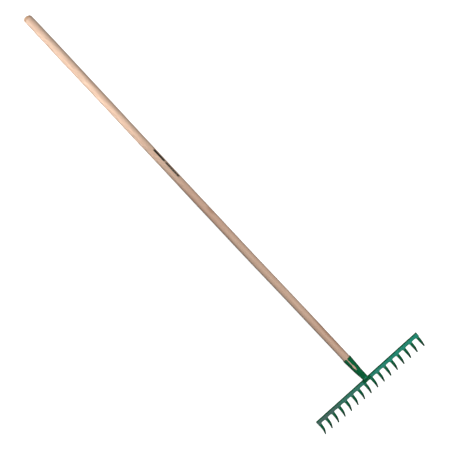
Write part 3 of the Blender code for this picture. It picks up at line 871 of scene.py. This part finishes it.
def add_light(name, spot, aim, size, power, tint, spread=180.0, in_gloss=True, in_diffuse=True):
    """A rectangular area light that points at a place, and can be kept to gloss or to diffuse light."""
    data = bpy.data.lights.new(name, "AREA")
    data.shape = "RECTANGLE"
    data.size, data.size_y = size
    data.energy = power
    data.color = linear(tint)[:3]
    data.spread = math.radians(spread)
    light = bpy.data.objects.new(name, data)
    bpy.context.scene.collection.objects.link(light)
    light.rotation_euler = (Vector(aim) - Vector(spot)).to_track_quat("-Z", "Y").to_euler()
    light.location = spot
    light.visible_camera = False
    light.visible_glossy = in_gloss
    light.visible_diffuse = in_diffuse


def floor_material(settings):
    """White matte paper lit from behind as well, so that shadows on it stay faint."""
    material, tree, shader = new_material("white_floor")
    fibres = add_node(tree, "ShaderNodeTexNoise", {"Scale": 1.0, "Detail": 2.0},
                      {"Vector": stretched(tree, 0.5, 0.5)})
    white = add_node(tree, "ShaderNodeMapRange", {"To Min": 0.60, "To Max": 0.66},
                     {"Value": fibres.outputs["Fac"]})
    tree.links.new(white.outputs[0], shader.inputs["Base Color"])
    shader.inputs["Roughness"].default_value = 0.9
    shader.inputs["Specular IOR Level"].default_value = 0.0
    shader.inputs["Emission Color"].default_value = linear(settings.floor)
    shader.inputs["Emission Strength"].default_value = 0.75
    return material


def studio_sky():
    """World that lights the rake dimly, and beyond the floor is seen as bright as its far end."""
    world = bpy.data.worlds.new("studio")
    world.use_nodes = True
    tree = world.node_tree
    dim = tree.nodes["Background"]
    dim.inputs["Color"].default_value = linear("#DCE9F4")
    dim.inputs["Strength"].default_value = 0.09
    seen = add_node(tree, "ShaderNodeBackground", {"Color": linear("#E7EAE9")})
    path = add_node(tree, "ShaderNodeLightPath")
    either = add_node(tree, "ShaderNodeMixShader", None,
                      {0: path.outputs["Is Camera Ray"], 1: dim.outputs[0], 2: seen.outputs[0]})
    tree.links.new(either.outputs[0], tree.nodes["World Output"].inputs["Surface"])
    return world


class RAKE_OT_stage(bpy.types.Operator):
    """Build the floor, the lights and the camera"""

    bl_idname = "rake.stage"
    bl_label = "Stage"

    def execute(self, context):
        settings = context.scene.rake_stage
        half, level = 60.0, -0.0005
        corners = np.array([(-half, -half, level), (half, -half, level), (half, half, level),
                            (-half, half, level)])
        floor = add_piece("floor", corners, np.array([(0, 1, 2, 3)]), floor_material(settings))
        # The floor takes light and shadow, but throws none back on the rake, as a far white sweep would
        floor.visible_diffuse = floor.visible_glossy = False
        context.scene.world = studio_sky()
        context.scene.view_settings.view_transform = "Standard"
        add_light("key", spot=(-0.80, 0.42, 3.0), aim=(0.0, 0.1, 0.0), size=(1.8, 1.8), power=95.0,
                  tint="#FFFEFC", in_gloss=False)
        add_light("strip", spot=(0.42, -0.60, 0.42), aim=(0.0, -0.60, 0.0), size=(0.76, 0.25), power=0.75,
                  tint="#FFFCF8", spread=50.0)
        # Two boxes that are seen only as gloss on the bar: pale cyan over most of it, mauve at one end
        add_light("cyan_box", spot=(0.03, 1.16, 2.4), aim=(0.03, 0.75, 0.0), size=(0.70, 0.9), power=5.4,
                  tint="#50F4F0", in_diffuse=False)
        add_light("mauve_box", spot=(0.76, 1.16, 2.4), aim=(0.3, 0.75, 0.0), size=(0.40, 0.9), power=1.9,
                  tint="#FF70FF", in_diffuse=False)
        add_camera(settings)
        return {"FINISHED"}


class RAKE_PT_panel(bpy.types.Panel):
    """Sidebar panel that lists the rake's pieces"""

    bl_idname = "RAKE_PT_panel"
    bl_label = "Garden Rake"
    bl_space_type = "VIEW_3D"
    bl_region_type = "UI"
    bl_category = "Rake"

    def draw(self, context):
        for operator in OPERATORS:
            self.layout.operator(operator.bl_idname)
        for name in SETTINGS:
            group = getattr(context.scene, name)
            for prop in group.__annotations__:
                self.layout.prop(group, prop)


SETTINGS = {
    "rake_handle": HandleSettings,
    "rake_head": HeadSettings,
    "rake_socket": SocketSettings,
    "rake_weld": WeldSettings,
    "rake_screw": ScrewSettings,
    "rake_stage": StageSettings,
}
OPERATORS = (RAKE_OT_handle, RAKE_OT_socket, RAKE_OT_head, RAKE_OT_welds, RAKE_OT_screw, RAKE_OT_stage)


def register():
    """Register the settings, operators and panel."""
    for name, group in SETTINGS.items():
        bpy.utils.register_class(group)
        setattr(bpy.types.Scene, name, PointerProperty(type=group))
    for item in (*OPERATORS, RAKE_PT_panel):
        bpy.utils.register_class(item)


def unregister():
    """Take the panel, operators and settings out again."""
    for item in (RAKE_PT_panel, *reversed(OPERATORS)):
        bpy.utils.unregister_class(item)
    for name, group in reversed(SETTINGS.items()):
        delattr(bpy.types.Scene, name)
        bpy.utils.unregister_class(group)


def main():
    """Build every piece and the stage."""
    register()
    bpy.ops.rake.handle()
    bpy.ops.rake.socket()
    bpy.ops.rake.head()
    bpy.ops.rake.welds()
    bpy.ops.rake.screw()
    bpy.ops.rake.stage()
    bpy.context.view_layer.update()


if __name__ == "__main__":
    main()
